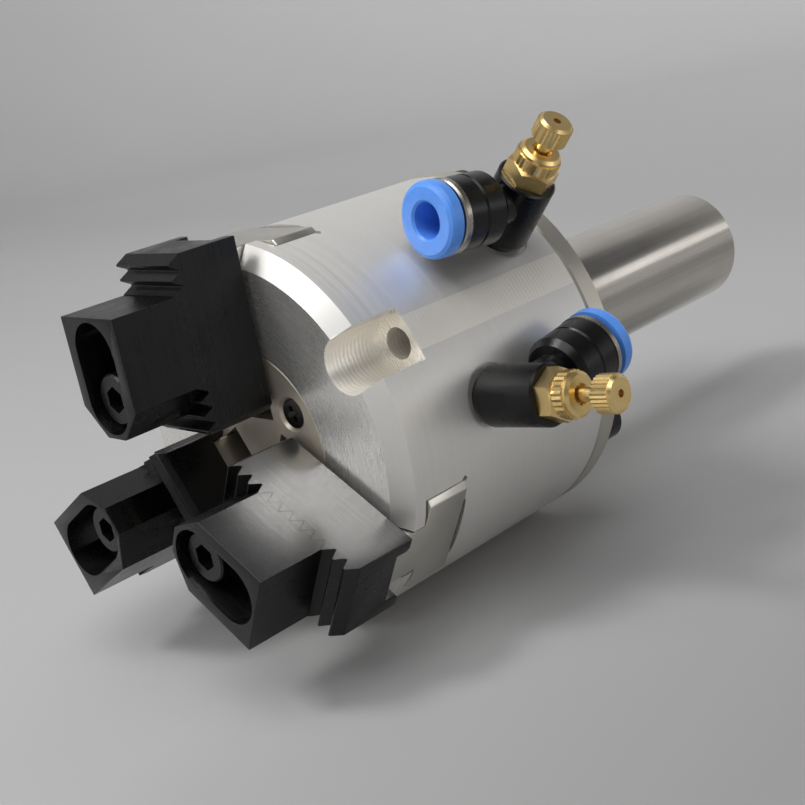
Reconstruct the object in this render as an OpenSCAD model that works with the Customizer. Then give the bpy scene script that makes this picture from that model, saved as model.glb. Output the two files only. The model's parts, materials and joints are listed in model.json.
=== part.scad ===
// Pneumatic three jaw centric gripper on a straight shank.
// A wedge piston inside the round body moves three T-shaped master jaws together. Each master
// jaw carries a serrated base jaw, and a top jaw that can be set in steps of one tooth.
// Two elbow speed controllers feed the front and the rear of the cylinder.
//
// The source is drawn along +Z, with the shoulder behind the rear cover at z = 0 and jaw 1 at
// +X. The finished part lies down: the axis runs along +X, and jaw 1 points up.

/* [Body] */
// Outside diameter of the body and the rear cover
body_d = 70; // [68:1:80]
// Length of the body between the rear cover and the front face
body_len = 52; // [50:1:65]
// Axial length of the bevel around the front face
bevel_len = 2.3; // [1:0.1:3.5]
// Radial width of the bevel around the front face
bevel_w = 3.5; // [2:0.1:4.5]
// Thickness of the rear cover
rear_cover_t = 4.5; // [4:0.5:7]
// Diameter of the cylinder bore that the piston runs in
bore_d = 50; // [44:1:51]

/* [Shank] */
// Diameter of the straight shank
shank_d = 25; // [20:1:28]
// Length of the shank behind the shoulder
shank_len = 78.5; // [50:0.5:110]
// Bevel at the free end of the shank
shank_bevel = 1; // [0.4:0.1:2]

/* [Mounting] */
// Clearance holes for the three mounting bolts
mount_hole_d = 5.5; // [4.5:0.1:5.8]
// Distance from the centre of a mounting hole to the outside of the body
mount_inset = 4; // [3.8:0.1:4.4]
// Width of the open groove that takes a mounting bolt head
groove_w = 9.6; // [9:0.1:11]
// Depth of the groove behind the front face
groove_depth = 11.9; // [8:0.1:14]

/* [Jaw guides] */
// Width of the neck of a master jaw
neck_w = 9.9; // [8:0.1:10.5]
// Width of the flange of a master jaw
flange_w = 19.9; // [18:0.1:22]
// Thickness of the lips that hold the flange
lip_t = 4.7; // [4:0.1:5.5]
// Height of the flange of a master jaw
flange_h = 8.9; // [8:0.1:10]
// Radial stroke of each jaw
jaw_stroke = 3; // [1.5:0.1:3]

/* [Jaws] */
// Width of the base jaws and the top jaws
jaw_w = 15; // [13:0.5:16]
// Height of the tooth tips of a base jaw above the front face
base_h = 14.6; // [13:0.1:18]
// Distance between two teeth of the serration
tooth_pitch = 2.5; // [2:0.1:3]
// Depth of the serration
tooth_depth = 1.8; // [1:0.1:2]
// Height of the outer face of a top jaw above the front face
top_h = 26.7; // [25:0.1:32]
// Length of a top jaw along its slide
top_len = 20; // [19:0.5:24]
// Position of the top jaws, in teeth, from the innermost tooth
jaw_step = 1; // [0:1:1]
// Width of the blunt nose of a top jaw
nose_w = 5; // [3:0.5:8]
// Width of the screw slot in a top jaw
slot_w = 10.5; // [10:0.1:11.5]
// Depth of the screw slot below the outer face
slot_depth = 6.5; // [5.6:0.1:7.5]

/* [Speed controllers] */
// Diameter of the valve barrel
barrel_d = 10.4; // [9.8:0.1:11.5]
// Length of the valve barrel
barrel_len = 13; // [12.6:0.1:16]
// Diameter of the hose port
port_d = 12.6; // [12:0.1:14]
// Distance from the valve axis to the outer face of the release ring
port_reach = 21; // [20:0.5:25]
// Outside diameter of the hose that the port takes
hose_d = 6; // [4:1:6]
// Width of the hexagon across its flats
hex_af = 8; // [7.5:0.1:9]
// Diameter of the knurled lock nut
nut_d = 7.9; // [7.5:0.1:8.5]
// Diameter of the knurled knob
knob_d = 6.3; // [5.5:0.1:7.5]

/* [Hidden] */
$fn = 64;
body_r = body_d / 2;
zb = rear_cover_t;                 // where the body starts
zf = rear_cover_t + body_len;      // front face
bore_r = bore_d / 2;
edge = 0.4;                        // broken edges
slide_gap = 0.05;                  // between surfaces that slide
thread_gap = 0.05;                 // between a screw and its tapped hole
clear = 0.3;                       // between parts that never touch
mount_r = body_r - mount_inset;
m3 = 3;
m5 = 5;
m6 = 6;
m5_head_d = 8.5;
m5_hex = 4;
collar_r = shank_d / 2 + 0.5;      // collar of the shank inside the rear cover

// master jaws
lip_gap = 0.35;                            // between the flange and the lips
flange_z = zf - lip_t - lip_gap - flange_h;   // underside of the flange
slot_z = flange_z - slide_gap;             // floor of the guide slot
neck_top = 3.9;                            // neck above the front face
jaw_end = body_r - 0.4;
inner_w = 16;                              // flange width beside the wedge
disc_r = 17;
disc_t = 3;
disc_slot_r = 4.5;                         // inner end of the slots in the disc
neck_in = disc_slot_r + jaw_stroke + 0.5;

// wedge piston
wedge_slope = 0.5;                         // jaw travel for each unit of piston travel
wedge_angle = atan(wedge_slope);
piston_stroke = jaw_stroke / wedge_slope;
rod_bore_r = 9.8;
rod_r = rod_bore_r - 0.08;
wedge_r = 4.8 + jaw_stroke;                // wedge face at the underside of the flange
wedge_top = flange_z + flange_h - 0.15 - piston_stroke;
pocket_z = flange_z - piston_stroke - clear;
hook_stem_w = 2.8;
hook_w = 5;
hook_neck = 1.1;                           // depth of the hook's narrow part
hook_depth = 2.1;
hook_gap = 0.1;
piston_t = 12;
piston_z = zb + 0.5;
piston_r = bore_r - 0.08;
bore_end = piston_z + piston_t + piston_stroke + 0.7;

// base jaws: tip radius of every tooth
foot_gap = 1.1;                            // base jaw above the front face
last_tip = body_r + 0.45;
tooth_n = floor((last_tip - 7.7) / tooth_pitch) + 1;
first_tip = last_tip - tooth_pitch * (tooth_n - 1);
base_in = first_tip - 1.05;
base_out = last_tip + 1.45;
tip_flat = 0.3;
valley_h = base_h - tooth_depth;
slot_wall = 0.7;                           // top jaw beside the ends of its screw slot
top_in = first_tip + tooth_pitch * jaw_step;
slot_in = top_in + slot_wall;
slot_out = top_in + top_len - slot_wall;
top_screw_r = first_tip + tooth_pitch + slot_wall + slot_w / 2 + 0.1;
base_screw_r = top_screw_r + m5_head_d + 1;
seat_h = top_h - slot_depth;               // seat of the top jaw screw

// cylinder ports and speed controllers, front of jaw 1 = 0 degrees
port_angle = [-42.5, -84.5];
rear_port = 9;                             // rear port from the back of the body
front_port = 22.8;                         // front port from the front of the body
port_z = [zb + rear_port, zf - front_port];
port_turn = [174.5, 7];                      // 0 points the hose port to the rear
spot_r = 5.6;
spot_seat = body_r - 0.5;
washer_t = 0.6;
seat = spot_seat + washer_t;               // foot of the valve barrel
barrel_top = seat + barrel_len;
core_foot = bore_r + 4.5;                  // inner end of the thread of a valve core
port_rise = 7.9;                           // hose port above the foot of the barrel
port_axis = seat + port_rise;
washer_r = 4.2;
hex_h = 3;
nut_z = barrel_top + hex_h;
nut_h = 3;
knob_gap = [2.4, 4];                       // how far each needle stands out of its nut
knob_h = 3.6;
tip_taper = 2.6;
needle_travel = 1.5;
tip_depth = 2.3 - needle_travel;           // how far the open needle reaches into its seat
needle_len = nut_z + nut_h + knob_gap[0] - port_axis + tip_depth;
stem_r = 1.25;
thread_r = 2.6;                            // end of the valve core inside the lock nut
hose_stop = 7.4;                           // where the hose ends, from the valve axis
ring_t = 1.2;
collet_t = 2.6;
collet_gap = 0.8;
collet_in = 3.8;                           // length of the collet inside the elbow
port_end = port_reach - collet_t - collet_gap - ring_t;

// ---------- frames ----------

// lays the finished part down: the axis to +X, jaw 1 to +Z
module lay_down() {
    rotate(a = 180, v = [1, 0, 1]) children();
}

module jaw_frame(k) {
    lay_down() rotate([0, 0, 120 * (k - 1)]) children();
}

// along the sloping wedge face of the jaw at +X: z runs up the slope, x points outward
module wedge_frame() {
    translate([wedge_r, 0, flange_z]) rotate([0, wedge_angle, 0]) children();
}

// z runs out along the valve axis from the centre of the body, x along the hose port
module valve_frame(i) {
    lay_down() rotate([0, 0, port_angle[i - 1]]) translate([0, 0, port_z[i - 1]])
        rotate([0, 90, 0]) rotate([0, 0, port_turn[i - 1]]) children();
}

// ---------- shared shapes ----------

// a profile in (radius, height) drawn out to a width on both sides of a jaw's middle plane
module side_profile(w) {
    rotate([90, 0, 0]) linear_extrude(height = w, center = true) children();
}

module box(x0, x1, w, z0, z1) {
    translate([x0, -w / 2, z0]) cube([x1 - x0, w, z1 - z0]);
}

module hole(r, z0, z1) {
    translate([0, 0, z0]) cylinder(r = r, h = z1 - z0);
}

// socket head cap screw, head upward from z = 0
module cap_screw(d, len, head_d, hex) {
    difference() {
        rotate_extrude() polygon([[0, -len], [d / 2 - 0.4, -len], [d / 2, -len + 0.4], [d / 2, 0],
            [head_d / 2, 0], [head_d / 2, d - 0.3], [head_d / 2 - 0.3, d], [0, d]]);
        translate([0, 0, d * 0.45]) cylinder(d = hex / cos(30), h = d, $fn = 6);
    }
}

module ring(r_in, r_out, z0, z1) {
    difference() {
        hole(r_out, z0, z1);
        hole(r_in, z0 - 1, z1 + 1);
    }
}

module o_ring(r_mid, r_wire, z) {
    translate([0, 0, z]) rotate_extrude() translate([r_mid, 0]) circle(r = r_wire, $fn = 24);
}

// round bar with straight flutes along it
module knurled(d, h, n, depth) {
    linear_extrude(height = h) polygon([for (i = [0 : 2 * n - 1])
        let (r = d / 2 - (i % 2) * depth, a = 180 * i / n) [r * cos(a), r * sin(a)]]);
}

// ---------- body ----------

module guide_slot() {
    box(0, body_r + 2, neck_w + 0.7, slot_z + 1, zf + 1);
    box(0, body_r + 2, flange_w + 2 * slide_gap, slot_z, zf - lip_t);
    // relief along the middle of the floor
    box(0, body_r + 2, flange_w * 0.62, slot_z - 0.5, slot_z + 1);
    // relief along the inner corners of the slot
    for (s = [-1, 1]) translate([0, s * (flange_w / 2 + slide_gap), slot_z])
        rotate([0, 90, 0]) rotate(45) translate([-0.5, -0.5, 0]) cube([1, 1, body_r + 2]);
}

module mount_groove() {
    rotate([0, 0, 60]) {
        translate([mount_r, 0, 0]) hole(groove_w / 2, zf - groove_depth, zf + 1);
        box(mount_r, body_r + 2, groove_w, zf - groove_depth, zf + 1);
        translate([mount_r, 0, 0]) hole(mount_hole_d / 2, -1, zf);
    }
}

module cylinder_ports() {
    for (i = [0, 1]) rotate([0, 0, port_angle[i]]) {
        translate([0, 0, port_z[i]]) rotate([0, 90, 0]) {
            hole(spot_r, spot_seat, body_r + 5);
            hole(m5 / 2 + thread_gap, i == 0 ? bore_r + 2.4 : bore_r - 3.4, spot_seat + 1);
        }
    }
    // rear chamber: along the wall, then through a notch beside the rear cover
    rotate([0, 0, port_angle[0]]) {
        translate([bore_r + 3.6, 0, 0]) hole(1.25, zb - 1, port_z[0]);
        box(bore_r - 1, bore_r + 4, 2.5, zb - 1, zb + 1.2);
    }
    // front chamber: down into the end wall of the cylinder
    rotate([0, 0, port_angle[1]]) translate([bore_r - 2, 0, 0])
        hole(1.25, bore_end - 1, port_z[1]);
}

module body_housing() {
    color([0.74, 0.74, 0.73]) lay_down() difference() {
        rotate_extrude() polygon([[rod_bore_r, bore_end], [bore_r, bore_end], [bore_r, zb],
            [body_r - edge, zb], [body_r, zb + edge], [body_r, zf - bevel_len],
            [body_r - bevel_w, zf], [disc_r + 0.1, zf], [disc_r + 0.1, zf - disc_t],
            [rod_bore_r, zf - disc_t]]);
        ring(rod_bore_r - 1, rod_bore_r + 2.4, bore_end + 2, bore_end + 5);
        for (k = [0 : 2]) rotate([0, 0, 120 * k]) {
            guide_slot();
            mount_groove();
            rotate([0, 0, 60]) translate([12, 0, 0])
                hole(m3 / 2 + thread_gap, zf - disc_t - 8, zf);
            translate([(bore_r + body_r) / 2, 0, 0]) hole(m5 / 2 + thread_gap, zb - 1, zb + 13);
        }
        cylinder_ports();
    }
}

module rear_cover() {
    color([0.55, 0.54, 0.51]) lay_down() difference() {
        rotate_extrude() polygon([[collar_r + 0.02, 0], [body_r - edge, 0], [body_r, edge],
            [body_r, zb - edge], [body_r - edge, zb], [collar_r + 4.5, zb],
            [collar_r + 4.5, zb - 2], [collar_r + 0.02, zb - 2]]);
        for (k = [0 : 2]) rotate([0, 0, 120 * k]) {
            translate([(bore_r + body_r) / 2, 0, 0]) hole(m5 / 2 + 0.15, -1, zb + 1);
            rotate([0, 0, 60]) translate([mount_r, 0, 0]) hole(mount_hole_d / 2, -1, zb + 1);
        }
    }
}

module shank() {
    r = shank_d / 2;
    color([0.60, 0.59, 0.57]) lay_down() rotate_extrude() polygon([[0, -shank_len],
        [r - shank_bevel, -shank_len], [r, -shank_len + shank_bevel], [r, 0], [collar_r, 0],
        [collar_r, zb - 2], [collar_r + 4.45, zb - 2], [collar_r + 4.45, zb], [0, zb]]);
}

module cover_disc() {
    color([0.62, 0.60, 0.56]) lay_down() difference() {
        rotate_extrude() polygon([[0, zf - disc_t], [disc_r, zf - disc_t], [disc_r, zf - 0.25],
            [disc_r - 0.25, zf], [0, zf]]);
        for (k = [0 : 2]) rotate([0, 0, 120 * k]) {
            box(disc_slot_r, disc_r + 2, neck_w + 0.4, zf - disc_t - 1, zf + 1);
            rotate([0, 0, 60]) translate([12, 0, 0]) {
                hole(1.7, zf - disc_t - 1, zf + 1);
                translate([0, 0, zf - 1.9]) cylinder(r1 = 1.7, r2 = 3.3, h = 2.1);
            }
        }
    }
}

module cover_screws() {
    color([0.66, 0.64, 0.60]) lay_down() for (k = [0 : 2])
        rotate([0, 0, 60 + 120 * k]) translate([12, 0, zf - 0.45]) difference() {
            rotate_extrude() polygon([[0, -9], [1.2, -9], [1.5, -8.7], [1.5, -1.4],
                [2.65, -0.1], [2.55, 0], [0, 0]]);
            translate([0, 0, -1.2]) cylinder(d = 2 / cos(30), h = 2, $fn = 6);
        }
}

module rear_cover_screws() {
    color([0.08, 0.08, 0.085]) lay_down() for (k = [0 : 2]) rotate([0, 0, 120 * k])
        translate([(bore_r + body_r) / 2, 0, 0]) mirror([0, 0, 1])
            cap_screw(m5, zb + 10, m5_head_d, m5_hex);
}

// ---------- drive ----------

module wedge_piston() {
    color([0.45, 0.46, 0.48]) lay_down() difference() {
        union() {
            hole(rod_r, piston_z + piston_t, wedge_top);
            hole(6, piston_z + piston_t - 3, piston_z + piston_t + 1);
        }
        hole(m6 / 2 + thread_gap, piston_z, piston_z + piston_t + 11);
        intersection() {
            for (k = [0 : 2]) rotate([0, 0, 120 * k]) wedge_frame() {
                box(0, 12, 30, -20, 20);
                box(-hook_depth, 1, hook_stem_w + 2 * hook_gap, -20, 20);
                box(-hook_depth, -hook_neck, hook_w + 2 * hook_gap, -20, 20);
            }
            hole(rod_r + 2, pocket_z, wedge_top + 1);
        }
    }
}

module piston() {
    color([0.70, 0.70, 0.69]) lay_down() difference() {
        rotate_extrude() polygon([[0, piston_z], [piston_r - edge, piston_z],
            [piston_r, piston_z + edge], [piston_r, piston_z + 4.4],
            [piston_r - 2.6, piston_z + 4.4], [piston_r - 2.6, piston_z + 7.6],
            [piston_r, piston_z + 7.6], [piston_r, piston_z + piston_t - edge],
            [piston_r - edge, piston_z + piston_t], [0, piston_z + piston_t]]);
        hole(6.02, piston_z + piston_t - 3, piston_z + piston_t + 1);
        hole(m6 / 2 + 0.2, piston_z, piston_z + piston_t);
        hole(5.4, piston_z - 1, piston_z + 5.5);
    }
}

module piston_screw() {
    color([0.10, 0.10, 0.11]) lay_down() translate([0, 0, piston_z + 5.5])
        mirror([0, 0, 1]) difference() {
            rotate_extrude() polygon([[0, -14], [m6 / 2 - 0.4, -14], [m6 / 2, -13.6],
                [m6 / 2, 0], [5, 0], [5, 5], [4.7, 5.3], [0, 5.3]]);
            translate([0, 0, 2.4]) cylinder(d = 5 / cos(30), h = 4, $fn = 6);
        }
}

module piston_seal() {
    color([0.06, 0.06, 0.06]) lay_down() o_ring(piston_r - 1.25, 1.3, piston_z + 6);
}

module rod_seal() {
    color([0.06, 0.06, 0.06]) lay_down() o_ring(rod_bore_r + 1.19, 1.2, bore_end + 3.5);
}

// ---------- jaws ----------

module master_jaw(k) {
    z1 = flange_z + flange_h;
    w = flange_w / 2;
    color([0.56, 0.55, 0.53]) jaw_frame(k) difference() {
        union() {
            intersection() {
                union() {
                    difference() {
                        box(4, jaw_end, flange_w, flange_z, z1);
                        // outer corners trimmed to the round of the body
                        for (s = [-1, 1]) translate([jaw_end, s * w, 0]) rotate(45)
                            translate([-0.7, -0.7, flange_z - 1]) cube([1.4, 1.4, 12]);
                        // inner end narrowed between its neighbours
                        for (s = [-1, 1]) translate([0, s * (w + inner_w / 2) / 2, 0])
                            box(0, 13.5, w - inner_w / 2 + 0.01, flange_z - 1, z1 + 1);
                    }
                }
                wedge_frame() box(hook_gap, 40, 30, -20, 40);
            }
            intersection() {
                wedge_frame() {
                    box(hook_gap - hook_depth, 1, hook_stem_w, -10, 20);
                    box(hook_gap - hook_depth, -hook_neck - hook_gap, hook_w, -10, 20);
                }
                hole(body_r, flange_z, z1);
            }
            box(neck_in, jaw_end, neck_w, z1 - 0.01, zf + neck_top);
        }
        translate([base_screw_r, 0, 0]) hole(m5 / 2 + thread_gap, zf - 10, zf + 5);
    }
}

// tooth tips from the inside out, as (radius, height) above the front face
function teeth(n, r0, tip, valley) = [for (i = [0 : n - 1])
    each [[r0 + i * tooth_pitch - tip_flat / 2, tip], [r0 + i * tooth_pitch + tip_flat / 2, tip],
          [r0 + (i + 0.5) * tooth_pitch - tip_flat / 2, valley],
          [r0 + (i + 0.5) * tooth_pitch + tip_flat / 2, valley]]];

module base_jaw(k) {
    last = tooth_n - 1;
    row = teeth(tooth_n, first_tip, base_h, valley_h);
    color([0.085, 0.085, 0.09]) jaw_frame(k) translate([0, 0, zf]) difference() {
        side_profile(jaw_w) polygon(concat([[base_out, foot_gap], [base_in, foot_gap],
            [base_in, valley_h + 0.6]],
            [for (i = [0 : 4 * last + 1]) row[i]],
            [[base_out, base_h - 2.2]]));
        // groove over the neck of the master jaw, with broken edges
        box(0, 50, neck_w + 0.1, 0, neck_top);
        for (s = [-1, 1]) translate([0, s * (neck_w / 2 + 0.05), foot_gap])
            rotate([45, 0, 0]) translate([0, -0.4, -0.4]) cube([60, 0.8, 0.8]);
        // vertical edges at the inner end
        for (s = [-1, 1]) translate([base_in, s * jaw_w / 2, 0]) rotate(45)
            translate([-0.92, -0.92, 0]) cube([1.84, 1.84, base_h + 1]);
        translate([top_screw_r, 0, 0]) hole(m5 / 2 + thread_gap, neck_top + 2, base_h + 1);
        translate([base_screw_r, 0, 0]) {
            hole(m5 / 2 + 0.25, 0, base_h);
            hole(m5_head_d / 2 + 0.25, valley_h - 5.5, base_h + 1);
        }
    }
}

module base_screw(k) {
    color([0.10, 0.10, 0.105]) jaw_frame(k)
        translate([base_screw_r, 0, zf + valley_h - 5.5]) cap_screw(m5, 14, m5_head_d, m5_hex);
}

// slot for the top jaw screw, at the radius of its rounded ends
module long_hole(r, z0, z1) {
    a = slot_in + slot_w / 2;
    b = slot_out - slot_w / 2;
    for (x = [a, b]) translate([x, 0, 0]) hole(r, z0, z1);
    box(a, b, 2 * r, z0, z1);
}

module top_jaw(k) {
    c = (jaw_w - nose_w) / 2;
    out = top_in + top_len;
    n = ceil(top_len / tooth_pitch) + 3;
    row = teeth(n, top_in - tooth_pitch, base_h, valley_h);
    color([0.09, 0.09, 0.095]) jaw_frame(k) translate([0, 0, zf]) difference() {
        intersection() {
            side_profile(jaw_w) polygon(concat(row,
                [[out + tooth_pitch, top_h], [top_in - tooth_pitch, top_h]]));
            linear_extrude(height = top_h) polygon([[top_in, -nose_w / 2], [top_in, nose_w / 2],
                [top_in + c, jaw_w / 2], [out, jaw_w / 2], [out, -jaw_w / 2],
                [top_in + c, -jaw_w / 2]]);
        }
        long_hole(slot_w / 2, seat_h, top_h + 1);
        long_hole(m5 / 2 + 0.25, base_h - 3, top_h);
    }
}

module top_screw(k) {
    color([0.12, 0.12, 0.125]) jaw_frame(k) translate([top_screw_r, 0, zf + seat_h])
        cap_screw(m5, 12, m5_head_d, m5_hex);
}

// ---------- speed controllers ----------

module valve_core(i) {
    color([0.76, 0.60, 0.26]) valve_frame(i) difference() {
        union() {
            rotate_extrude() polygon([[0, core_foot], [m5 / 2 - 0.4, core_foot],
                [m5 / 2, core_foot + 0.4], [m5 / 2, seat], [3.2, seat], [3.2, barrel_top],
                [0, barrel_top]]);
            // hexagon with its corners turned off at the top
            intersection() {
                translate([0, 0, barrel_top]) rotate(20)
                    cylinder(d = hex_af / cos(30), h = hex_h, $fn = 6);
                hole(hex_af / 2 + 5, barrel_top, nut_z);
                translate([0, 0, barrel_top]) rotate_extrude() polygon([[0, 0],
                    [hex_af * 0.6, 0], [hex_af * 0.6, hex_h - 0.65], [hex_af * 0.46, hex_h],
                    [0, hex_h]]);
            }
            hole(thread_r, nut_z, nut_z + nut_h - 0.8);
        }
        hole(1.1, core_foot - 1, port_axis);
        translate([0, 0, port_axis]) rotate([0, 90, 0]) hole(1.2, -4, 4);
        hole(stem_r + 0.05, port_axis, nut_z + nut_h);
    }
}

module seat_washer(i) {
    color([0.16, 0.16, 0.17]) valve_frame(i) ring(m5 / 2 + 0.1, washer_r, spot_seat, seat);
}

module elbow(i) {
    r = port_d / 2;
    b = barrel_d / 2;
    color([0.055, 0.055, 0.06]) valve_frame(i) difference() {
        union() {
            rotate_extrude() polygon([[0, seat + 0.05], [b - 1, seat + 0.05], [b - 0.3, seat + 0.35],
                [b, seat + 1.05], [b, barrel_top - 0.35], [b - 0.3, barrel_top - 0.05],
                [0, barrel_top - 0.05]]);
            translate([0, 0, port_axis]) rotate([0, 90, 0]) rotate_extrude()
                polygon([[0, 0], [3.9, 0], [3.9, 7], [r - 0.9, 7.3], [r, 8.5],
                    [r, port_end - 4.2], [r - 0.25, port_end - 3.9], [r, port_end - 3.6],
                    [r, port_end], [0, port_end]]);
        }
        hole(3.25, seat - 1, barrel_top + 1);
        translate([0, 0, port_axis]) rotate([0, 90, 0]) {
            hole(2, 2, port_end);
            hole(hose_d / 2 + 0.15, hose_stop, port_end + 1);
            hole(hose_d / 2 + 1.6, hose_stop + 1, port_end + 1);
        }
    }
}

module port_frame(i) {
    valve_frame(i) translate([0, 0, port_axis]) rotate([0, 90, 0]) children();
}

module port_ring(i) {
    color([0.70, 0.68, 0.64]) port_frame(i) difference() {
        rotate_extrude() polygon([[hose_d / 2 + 1.5, port_end], [port_d / 2 + 0.15, port_end],
            [port_d / 2 + 0.15, port_end + ring_t - 0.3], [port_d / 2 - 0.15, port_end + ring_t],
            [hose_d / 2 + 1.5, port_end + ring_t]]);
    }
}

module grip_ring(i) {
    // spring washer whose teeth bite into the hose
    color([0.72, 0.72, 0.72]) port_frame(i) difference() {
        translate([0, 0, port_end - 5]) difference() {
            cylinder(r = hose_d / 2 + 1.55, h = 0.4);
            translate([0, 0, -1]) cylinder(r = hose_d / 2 + 0.1, h = 3);
        }
        for (a = [0 : 45 : 315]) rotate(a) translate([hose_d / 2, -0.2, 0])
            cube([0.9, 0.4, port_reach]);
    }
}

module hose_seal(i) {
    color([0.07, 0.07, 0.07]) port_frame(i) o_ring(hose_d / 2 + 0.85, 0.7, hose_stop + 1.75);
}

module collet(i) {
    r = port_d / 2 + 0.2;
    h = hose_d / 2;
    z = port_reach - collet_t;
    color([0.16, 0.38, 0.90]) port_frame(i) difference() {
        rotate_extrude() polygon([[h + 0.1, port_end - collet_in], [h + 1.2, port_end - collet_in],
            [h + 1.2, z], [r, z], [r, port_reach - 0.9], [r - 0.25, port_reach - 0.35],
            [r - 0.9, port_reach], [h + 0.5, port_reach], [h + 0.1, port_reach - 0.4]]);
        for (a = [0, 90]) rotate(a) translate([-h - 3, -0.35, port_end - 4])
            cube([2 * h + 6, 0.7, 3.4]);
    }
}

module lock_nut(i) {
    r = nut_d / 2;
    color([0.78, 0.62, 0.28]) valve_frame(i) difference() {
        union() {
            translate([0, 0, nut_z + 0.05]) knurled(nut_d, nut_h * 0.64, 26, 0.2);
            rotate_extrude() polygon([[0, nut_z + nut_h * 0.6], [r - 0.3, nut_z + nut_h * 0.6],
                [r - 0.3, nut_z + nut_h - 0.45], [r - 0.85, nut_z + nut_h], [0, nut_z + nut_h]]);
        }
        hole(thread_r + 0.05, nut_z - 1, nut_z + nut_h - 0.75);
        hole(stem_r + 0.5, nut_z, nut_z + nut_h + 1);
    }
}

function knob_z(i) = nut_z + nut_h + knob_gap[i - 1];

module needle(i) {
    tip = knob_z(i) - needle_len;
    color([0.80, 0.64, 0.30]) valve_frame(i) rotate_extrude() polygon([[0, tip],
        [stem_r - 0.1, tip + tip_taper], [stem_r, tip + tip_taper], [stem_r, knob_z(i) + knob_h - 1.6],
        [0, knob_z(i) + knob_h - 1.6]]);
}

module knob(i) {
    z = knob_z(i);
    color([0.80, 0.64, 0.30]) valve_frame(i) difference() {
        union() {
            translate([0, 0, z]) knurled(knob_d, knob_h - 0.5, 28, 0.2);
            translate([0, 0, z + knob_h - 0.5])
                cylinder(d1 = knob_d - 0.5, d2 = knob_d - 1.3, h = 0.5);
        }
        hole(stem_r + 0.02, z - 1, z + knob_h - 1.5);
        hole(0.65, z + knob_h - 1.6, z + knob_h + 1);
    }
}

body_housing();
rear_cover();
shank();
cover_disc();
cover_screws();
rear_cover_screws();
wedge_piston();
piston();
piston_screw();
piston_seal();
rod_seal();
master_jaw(1);  // master_jaw_1
master_jaw(2);  // master_jaw_2
master_jaw(3);  // master_jaw_3
base_jaw(1);  // base_jaw_1
base_jaw(2);  // base_jaw_2
base_jaw(3);  // base_jaw_3
base_screw(1);  // base_screw_1
base_screw(2);  // base_screw_2
base_screw(3);  // base_screw_3
top_jaw(1);  // top_jaw_1
top_jaw(2);  // top_jaw_2
top_jaw(3);  // top_jaw_3
top_screw(1);  // top_screw_1
top_screw(2);  // top_screw_2
top_screw(3);  // top_screw_3
valve_core(1);  // valve_core_1
valve_core(2);  // valve_core_2
seat_washer(1);  // seat_washer_1
seat_washer(2);  // seat_washer_2
elbow(1);  // elbow_1
elbow(2);  // elbow_2
port_ring(1);  // port_ring_1
port_ring(2);  // port_ring_2
grip_ring(1);  // grip_ring_1
grip_ring(2);  // grip_ring_2
hose_seal(1);  // hose_seal_1
hose_seal(2);  // hose_seal_2
collet(1);  // collet_1
collet(2);  // collet_2
lock_nut(1);  // lock_nut_1
lock_nut(2);  // lock_nut_2
needle(1);  // needle_1
needle(2);  // needle_2
knob(1);  // knob_1
knob(2);  // knob_2
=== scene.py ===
"""Studio scene of a pneumatic three jaw centric gripper lying on a pale table.

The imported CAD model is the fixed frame: the gripper's axis runs along +X from the shank to the
jaws, jaw 1 points up +Z, and every size is in metres.
"""

import json
import logging
import math
from dataclasses import dataclass, field
from enum import Enum

import bmesh
import bpy
from mathutils import Matrix, Vector

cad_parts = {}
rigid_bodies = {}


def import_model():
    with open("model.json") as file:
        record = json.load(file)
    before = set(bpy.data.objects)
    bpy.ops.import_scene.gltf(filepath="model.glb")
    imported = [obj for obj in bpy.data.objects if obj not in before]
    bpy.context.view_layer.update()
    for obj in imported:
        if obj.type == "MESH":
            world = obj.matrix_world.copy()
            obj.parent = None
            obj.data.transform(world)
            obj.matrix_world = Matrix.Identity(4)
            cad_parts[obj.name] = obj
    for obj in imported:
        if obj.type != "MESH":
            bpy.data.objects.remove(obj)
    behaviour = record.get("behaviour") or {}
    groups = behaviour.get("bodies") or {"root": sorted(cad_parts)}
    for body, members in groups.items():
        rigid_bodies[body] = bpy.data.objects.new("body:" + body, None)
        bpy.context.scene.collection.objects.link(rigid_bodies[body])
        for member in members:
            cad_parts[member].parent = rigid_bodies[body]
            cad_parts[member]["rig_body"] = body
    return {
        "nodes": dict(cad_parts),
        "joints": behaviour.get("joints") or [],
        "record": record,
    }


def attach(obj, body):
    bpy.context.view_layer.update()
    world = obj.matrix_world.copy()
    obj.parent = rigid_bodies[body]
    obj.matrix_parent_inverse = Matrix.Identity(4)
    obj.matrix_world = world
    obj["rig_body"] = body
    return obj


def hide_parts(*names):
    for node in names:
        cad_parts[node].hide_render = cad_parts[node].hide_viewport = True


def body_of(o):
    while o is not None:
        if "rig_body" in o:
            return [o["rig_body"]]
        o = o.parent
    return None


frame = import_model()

log = logging.getLogger("gripper")

MM = 0.001
Colour = tuple[float, float, float]
Socket = bpy.types.NodeSocket

WELD = 0.002 * MM                  # CAD corners closer than this are one corner
FLAT_BELOW = math.radians(1)       # faces that meet flatter than this are merged
BREAK_ABOVE = math.radians(28)     # corners sharper than this get a broken edge
SMOOTH_BELOW = math.radians(32)    # an edge flatter than this is shaded smooth
LENGTHWISE_PULL = 0.985            # how far lengthwise marks are drawn out
ACROSS_MARKS = 0.25                # a quarter turn: highlights spread across the marks


def srgb(red: int, green: int, blue: int) -> Colour:
    """Turns a screen colour into the linear one that shaders take.

    Args:
        red: Red from 0 to 255.
        green: Green from 0 to 255.
        blue: Blue from 0 to 255.

    Returns:
        The linear colour.
    """

    def linear(value: int) -> float:
        """Turns one channel linear.

        Args:
            value: The channel from 0 to 255.

        Returns:
            Its linear share, from 0 to 1.
        """
        v = value / 255
        return v / 12.92 if v <= 0.04045 else ((v + 0.055) / 1.055) ** 2.4

    return linear(red), linear(green), linear(blue)


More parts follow.
